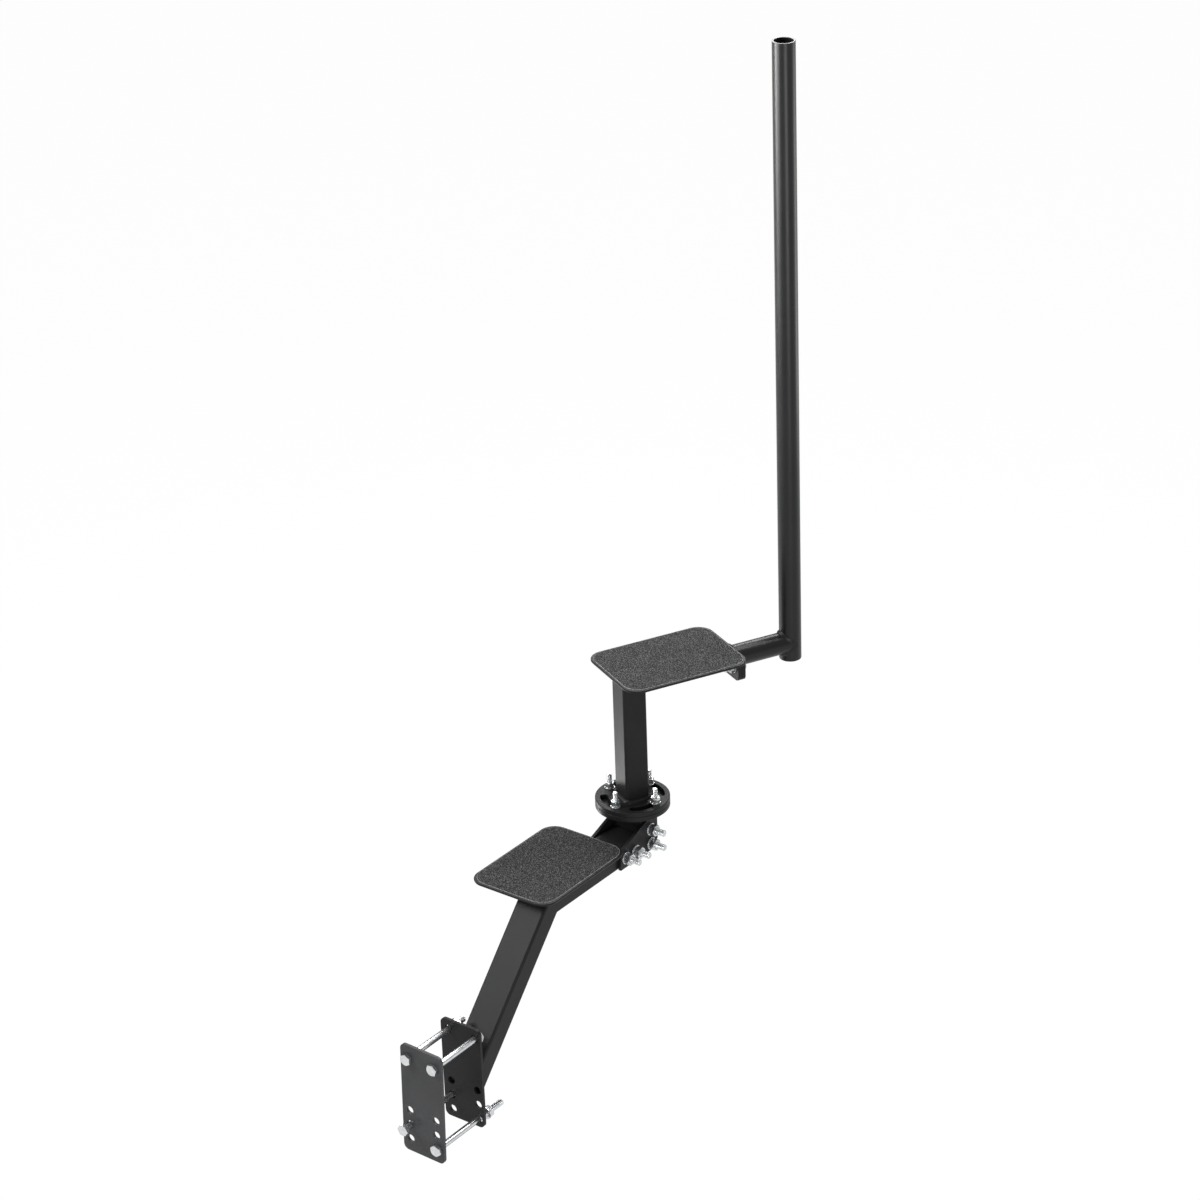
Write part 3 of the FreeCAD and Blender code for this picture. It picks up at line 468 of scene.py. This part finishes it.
def grit_tread(name, node, centre, along, size_along, size_across, corner, body):
    low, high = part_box(node)
    across = AXIS_Z.cross(along)
    rows = int(size_along / GRIT_STEP)
    columns = int(size_across / GRIT_STEP)
    grains = np.random.default_rng(GRIT_SEED)
    rough = grains.random((rows + 1, columns + 1)) ** 2
    points, faces = [], []
    for row in range(rows + 1):
        u = -size_along / 2 + size_along * row / rows
        into = max(0.0, abs(u) - (size_along / 2 - corner))
        half = size_across / 2 - corner + math.sqrt(max(0.0, corner ** 2 - into ** 2))
        for column in range(columns + 1):
            v = half * (2 * column / columns - 1)
            rim = row in (0, rows) or column in (0, columns)
            level = high.z - GRIT_SINK + (0.0 if rim else GRIT_HEIGHT * rough[row, column])
            points.append(centre + along * u + across * v + AXIS_Z * level)
    wide = columns + 1
    for row in range(rows):
        for column in range(columns):
            at = row * wide + column
            faces.append((at, at + 1, at + wide + 1, at + wide))
    border = list(range(wide))
    border += [row * wide + columns for row in range(1, rows + 1)]
    border += [rows * wide + column for column in range(columns - 1, -1, -1)]
    border += [row * wide for row in range(rows - 1, 0, -1)]
    first = len(points)
    for at in border:
        spot = points[at].copy()
        spot.z = low.z
        points.append(spot)
    count = len(border)
    for step in range(count):
        after = (step + 1) % count
        faces.append((border[step], border[after], first + after, first + step))
    faces.append(tuple(first + step for step in range(count)))
    piece = add_piece(name, points, faces, GRIT, body, GRIT_SHARP)
    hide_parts(node)


def rounded_loop(centre, one, two, half_one, half_two, corner, steps=6):
    """Points and outward directions of a rounded rectangle."""
    found = []
    for sign_one, sign_two, begin in ((1, 1, 0), (-1, 1, 90), (-1, -1, 180), (1, -1, 270)):
        hub = centre + one * sign_one * (half_one - corner) + two * sign_two * (half_two - corner)
        for step in range(steps + 1):
            angle = math.radians(begin + 90 * step / steps)
            way = one * math.cos(angle) + two * math.sin(angle)
            found.append((hub + way * corner, way))
    return found


def tape_edge_highlight(name, node, centre, along, half_along, half_across, corner, body):
    """Pale band round the tread: the cut side of the tape, and a painted highlight along its rim where the
    edge catches light.
    """
    low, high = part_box(node)
    across = AXIS_Z.cross(along)
    loop = rounded_loop(centre, along, across, half_along, half_across, corner, TAPE_CORNER_STEPS)
    points, faces = [], []
    rise = high.z - low.z
    for spot, way in loop:
        for inset, level in TAPE_SECTION:
            points.append(spot - way * TAPE_EDGE * inset + AXIS_Z * (low.z + rise * level))
    section = len(TAPE_SECTION)
    count = len(loop)
    for number in range(count):
        here, there = number * section, (number + 1) % count * section
        for step in range(section):
            after = (step + 1) % section
            faces.append((here + step, here + after, there + after, there + step))
    add_piece(name, points, faces, TAPE_HIGHLIGHT, body, TAPE_SHARP)


for name, node, way, body in (("lower_grit", "lower_tread", AXIS_Y, "base"),
                              ("upper_grit", "upper_tread", ALONG, "upper")):
    side = AXIS_Z.cross(way)
    low_u, high_u = flat_extent(node, way)
    low_v, high_v = flat_extent(node, side)
    middle = way * (low_u + high_u) / 2 + side * (low_v + high_v) / 2
    long, wide = high_u - low_u, high_v - low_v
    grit_tread(name, node, middle, way, long - 2 * TAPE_EDGE, wide - 2 * TAPE_EDGE,
               TREAD_CORNER - TAPE_EDGE, body)
    # The pale band is partly the tape's cut edge and partly a painted highlight.
    tape_edge_highlight(name + "_edge", node, middle, way, long / 2, wide / 2, TREAD_CORNER, body)

# Weld beads: a rippled fillet along a path, between two surface directions.
BEAD_ARC = 7
BEAD_STEP = 0.0007
BEAD_ROUND, BEAD_FLAT = 0.55, 0.45    # shares of a round and a flat fillet
BEAD_ROOT = 0.15                      # share of the leg that the root lies under the surface
BEAD_SHARP = 50
RIPPLE_PITCH = 0.0026
RIPPLE_DEPTH = 0.10
RIPPLE_LAG = 0.0012
FOOT_LEG, TUBE_LEG, THIN_LEG = 0.0050, 0.0045, 0.004


def bead(name, path, leg, body, closed=True):
    """path holds (point, first direction, second direction); the fillet spans the two."""
    dense = []
    count = len(path) if closed else len(path) - 1
    for number in range(count):
        spot, first, second = path[number]
        spot_to, first_to, second_to = path[(number + 1) % len(path)]
        pieces = max(1, int((spot_to - spot).length / BEAD_STEP))
        for step in range(pieces):
            share = step / pieces
            dense.append((spot.lerp(spot_to, share), first.lerp(first_to, share).normalized(),
                          second.lerp(second_to, share).normalized()))
    if not closed:
        dense.append(path[-1])
    points, faces = [], []
    travelled, before = 0.0, dense[0][0]
    for spot, first, second in dense:
        travelled += (spot - before).length
        before = spot
        for arc in range(BEAD_ARC + 1):
            share = arc / BEAD_ARC
            turn = share * math.pi / 2
            crown = math.sin(math.pi * share)
            ripple = abs(math.sin(math.pi * (travelled + RIPPLE_LAG * crown) / RIPPLE_PITCH))
            flank = math.cos(turn) + math.sin(turn)
            swell = RIPPLE_DEPTH * (ripple - 0.5) * crown
            radius = leg * (BEAD_ROUND + BEAD_FLAT / flank + swell)
            points.append(spot + (first * math.cos(turn) + second * math.sin(turn)) * radius)
        points.append(spot - (first + second) * leg * BEAD_ROOT)
    section = BEAD_ARC + 2
    total = len(dense)
    for number in range(total if closed else total - 1):
        low, high = number * section, (number + 1) % total * section
        for step in range(section):
            after = (step + 1) % section
            faces.append((low + step, low + after, high + after, high + step))
    if not closed:
        faces.append(tuple(range(section)))
        faces.append(tuple(range((total - 1) * section, total * section)))
    add_piece(name, points, faces, WELD_COAT, body, BEAD_SHARP)


def level_loop_bead(name, centre, one, two, half_one, half_two, corner, rise, leg, body):
    loop = rounded_loop(centre, one, two, half_one, half_two, corner)
    bead(name, [(spot, way, rise) for spot, way in loop], leg, body)


# Post on the upper disc and under the upper step, stub under the lower disc
POST_HALF = 0.020
POST_ROUND = 0.0045
TUBE_ROUND = 0.004
post_low, post_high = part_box("post")
stub_low, stub_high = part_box("swivel_stub")
post_foot = Vector((SWIVEL.x, SWIVEL.y, post_low.z))
post_head = Vector((SWIVEL.x, SWIVEL.y, post_high.z))
stub_head = Vector((SWIVEL.x, SWIVEL.y, stub_high.z))
level_loop_bead("post_foot_weld", post_foot, ALONG, ACROSS, POST_HALF, POST_HALF, POST_ROUND,
                AXIS_Z, FOOT_LEG, "upper")
level_loop_bead("post_head_weld", post_head, ALONG, ACROSS, POST_HALF, POST_HALF, POST_ROUND,
                -AXIS_Z, TUBE_LEG, "upper")
level_loop_bead("stub_weld", stub_head, AXIS_X, AXIS_Y, (stub_high.x - stub_low.x) / 2,
                (stub_high.y - stub_low.y) / 2, TUBE_ROUND, -AXIS_Z, TUBE_LEG, "base")

# Arm foot on the back plate
ARM_ANGLE = math.radians(47.5)
SLOPE = Vector((0, math.cos(ARM_ANGLE), math.sin(ARM_ANGLE)))
plate_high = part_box("back_plate")[1]
arm_low, arm_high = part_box("arm_sloping")
level_low, level_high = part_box("arm_level")
foot_tall = (level_high.z - level_low.z) / math.cos(ARM_ANGLE)
foot_middle = Vector((0, plate_high.y, arm_low.z + foot_tall / 2))
foot_loop = rounded_loop(foot_middle, AXIS_X, AXIS_Z, arm_high.x, foot_tall / 2, TUBE_ROUND)
bead("arm_foot_weld", [(spot, way, SLOPE) for spot, way in foot_loop], TUBE_LEG, "base")

# Lower step on the level tube
STEP_WELD_START, STEP_WELD_END = 0.004, 0.010
step_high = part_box("lower_step")[1]
for side, sign in (("left", -1), ("right", 1)):
    begin = Vector((sign * level_high.x, level_low.y + STEP_WELD_START, level_high.z))
    end = Vector((sign * level_high.x, step_high.y - STEP_WELD_END, level_high.z))
    bead("lower_step_weld_" + side, [(begin, AXIS_X * sign, -AXIS_Z), (end, AXIS_X * sign, -AXIS_Z)],
         THIN_LEG, "base", closed=False)

# Rail tab under the upper step
TAB_WELD_INSET = 0.006
tab_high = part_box("rail_tab")[1]
tab_back = flat_extent("rail_tab", ALONG)[0]
tab_left, tab_right = flat_extent("rail_tab", ACROSS)
tab_line = [ALONG * tab_back + ACROSS * place + AXIS_Z * tab_high.z
            for place in (tab_left + TAB_WELD_INSET, tab_right - TAB_WELD_INSET)]
bead("rail_tab_weld", [(spot, -ALONG, -AXIS_Z) for spot in tab_line], THIN_LEG, "upper", closed=False)

# Level rail on its base plate and on the pole
POLE_RADIUS = 0.0175
LOOP_STEPS = 72
SKIN_SHARE = 0.98
rail_low, rail_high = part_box("rail")
rail_level = (rail_low.z + rail_high.z) / 2
base_front = flat_extent("rail_base", ALONG)[1]
rail_start = ALONG * base_front + ACROSS * POLE.dot(ACROSS) + AXIS_Z * rail_level
rail_end = Vector((POLE.x, POLE.y, rail_level))
base_loop, saddle = [], []
for step in range(LOOP_STEPS):
    angle = 2 * math.pi * (step + 0.5) / LOOP_STEPS
    way = ACROSS * math.cos(angle) + AXIS_Z * math.sin(angle)
    base_loop.append((rail_start + way * POLE_RADIUS, way, ALONG))
    depth = abs(math.sin(angle))
    spot = rail_end + way * POLE_RADIUS - ALONG * POLE_RADIUS * depth
    outward = (ACROSS * math.cos(angle) - ALONG * depth).normalized()
    skin = way - outward * way.dot(outward) * SKIN_SHARE
    saddle.append((spot, skin.normalized(), -ALONG))
bead("rail_base_weld", base_loop, THIN_LEG, "upper")
bead("rail_pole_weld", saddle, THIN_LEG, "upper")


# Stage, lights and camera
def stage_floor():
    """Pale floor, seen as nearly plain white by camera, glossy and transmission rays."""
    half = FLOOR_SIZE / 2
    corners = [(x, y, FLOOR_LEVEL) for x, y in ((-half, -half), (half, -half), (half, half), (-half, half))]
    mesh = bpy.data.meshes.new("floor")
    mesh.from_pydata(corners, [], [(0, 1, 2, 3)])
    floor = bpy.data.objects.new("floor", mesh)
    bpy.context.scene.collection.objects.link(floor)
    material = bpy.data.materials.new("pale_floor")
    material.use_nodes = True
    tree = material.node_tree
    tree.nodes.clear()
    output = tree.nodes.new("ShaderNodeOutputMaterial")
    diffuse = add_node(tree, "ShaderNodeBsdfDiffuse", Color=(FLOOR_TONE, FLOOR_TONE, FLOOR_TONE, 1.0))
    white = add_node(tree, "ShaderNodeEmission", Color=(1.0, 1.0, 1.0, 1.0), Strength=1.0)
    backdrop = add_node(tree, "ShaderNodeMixShader", Fac=FLOOR_WHITE)
    tree.links.new(diffuse.outputs[0], backdrop.inputs[1])
    tree.links.new(white.outputs[0], backdrop.inputs[2])
    mix = tree.nodes.new("ShaderNodeMixShader")
    path = tree.nodes.new("ShaderNodeLightPath")
    seen = path.outputs["Is Camera Ray"]
    for ray in ("Is Glossy Ray", "Is Transmission Ray"):
        either = tree.nodes.new("ShaderNodeMath")
        either.operation = "MAXIMUM"
        tree.links.new(seen, either.inputs[0])
        tree.links.new(path.outputs[ray], either.inputs[1])
        seen = either.outputs[0]
    tree.links.new(seen, mix.inputs["Fac"])
    tree.links.new(diffuse.outputs[0], mix.inputs[1])
    tree.links.new(backdrop.outputs[0], mix.inputs[2])
    tree.links.new(mix.outputs[0], output.inputs["Surface"])
    mesh.materials.append(material)


# Grey of the surroundings by height: the Z of a direction, then its tone
SKY = ((0.0, 0.46), (0.25, 0.50), (0.42, 0.62), (0.85, 0.45))


def studio_world():
    world = bpy.data.worlds.new("studio")
    bpy.context.scene.world = world
    world.use_nodes = True
    tree = world.node_tree
    place = tree.nodes.new("ShaderNodeTexCoord").outputs["Generated"]
    split = tree.nodes.new("ShaderNodeSeparateXYZ")
    tree.links.new(place, split.inputs[0])
    shade = ramp(tree, split.outputs["Z"], [(height, (tone, tone, tone)) for height, tone in SKY])
    background = tree.nodes["Background"]
    tree.links.new(shade, background.inputs["Color"])
    background.inputs["Strength"].default_value = 1.0


azimuth, elevation = math.radians(CAMERA_AZIMUTH), math.radians(CAMERA_ELEVATION)
RIGHT = Vector((math.cos(azimuth), math.sin(azimuth), 0))
FORWARD = Vector((-math.sin(azimuth) * math.cos(elevation), math.cos(azimuth) * math.cos(elevation),
                  -math.sin(elevation)))
UP = RIGHT.cross(FORWARD)
LEVEL_FORWARD = Vector((FORWARD.x, FORWARD.y, 0)).normalized()


def studio_camera():
    roll = math.radians(CAMERA_ROLL)
    image_right = RIGHT * math.cos(roll) - UP * math.sin(roll)
    image_up = RIGHT * math.sin(roll) + UP * math.cos(roll)
    turn = Matrix((image_right, image_up, -FORWARD)).transposed().to_4x4()
    data = bpy.data.cameras.new("camera")
    data.lens = CAMERA_LENS
    data.sensor_width = SENSOR_WIDTH
    data.clip_end = CAMERA_CLIP_END
    camera = bpy.data.objects.new("camera", data)
    camera.matrix_world = Matrix.Translation(CAMERA_TARGET - FORWARD * CAMERA_DISTANCE) @ turn
    bpy.context.scene.collection.objects.link(camera)
    bpy.context.scene.camera = camera


def soft_box(name, right, forward, level, aim, wide, tall, power, spread):
    """Area light placed by the camera's level directions round the object."""
    middle = Vector((CAMERA_TARGET.x, CAMERA_TARGET.y, 0))
    data = bpy.data.lights.new(name, "AREA")
    data.shape = "RECTANGLE"
    data.size, data.size_y = wide, tall
    data.energy = power
    data.spread = math.radians(spread)
    lamp = bpy.data.objects.new(name, data)
    lamp.location = middle + RIGHT * right + LEVEL_FORWARD * forward + AXIS_Z * level
    aim_at = middle + AXIS_Z * aim
    lamp.rotation_euler = (aim_at - lamp.location).to_track_quat("-Z", "Y").to_euler()
    bpy.context.scene.collection.objects.link(lamp)


# Name, place to the right, forward and up, height aimed at, width, height, watts, spread
LIGHTS = (
    ("left_strip", -2.4, -0.05, 0.75, 1.35, 1.1, 0.8, 6.0, 42),
    ("left_strip_front", -2.06, -1.03, 0.75, 1.35, 1.1, 0.8, 2.2, 42),
    ("left_high", -2.2, -0.17, 2.0, 0.1, 1.3, 1.3, 62.0, 180),
    ("left_floor", -0.85, 0.64, -0.48, 5.0, 0.4, 0.4, 5.0, 180),
    ("right_panel", 1.55, 0.5, 0.60, 1.2, 0.7, 0.7, 0.4, 45),
    ("back_top", 1.3, 0.7, 2.5, 0.4, 1.2, 1.2, 54.0, 180),
    ("rim_light", 0.3, 3.0, 2.45, 1.3, 1.2, 0.6, 34.0, 180),
    ("top", -0.1, 0.25, 1.45, 0.3, 0.6, 0.6, 10.0, 180),
    ("front_low", 0.95, -2.9, 0.30, 0.6, 1.1, 0.7, 24.0, 180),
)

stage_floor()
studio_world()
studio_camera()
for settings in LIGHTS:
    soft_box(*settings)

bpy.context.scene.view_settings.view_transform = "Standard"
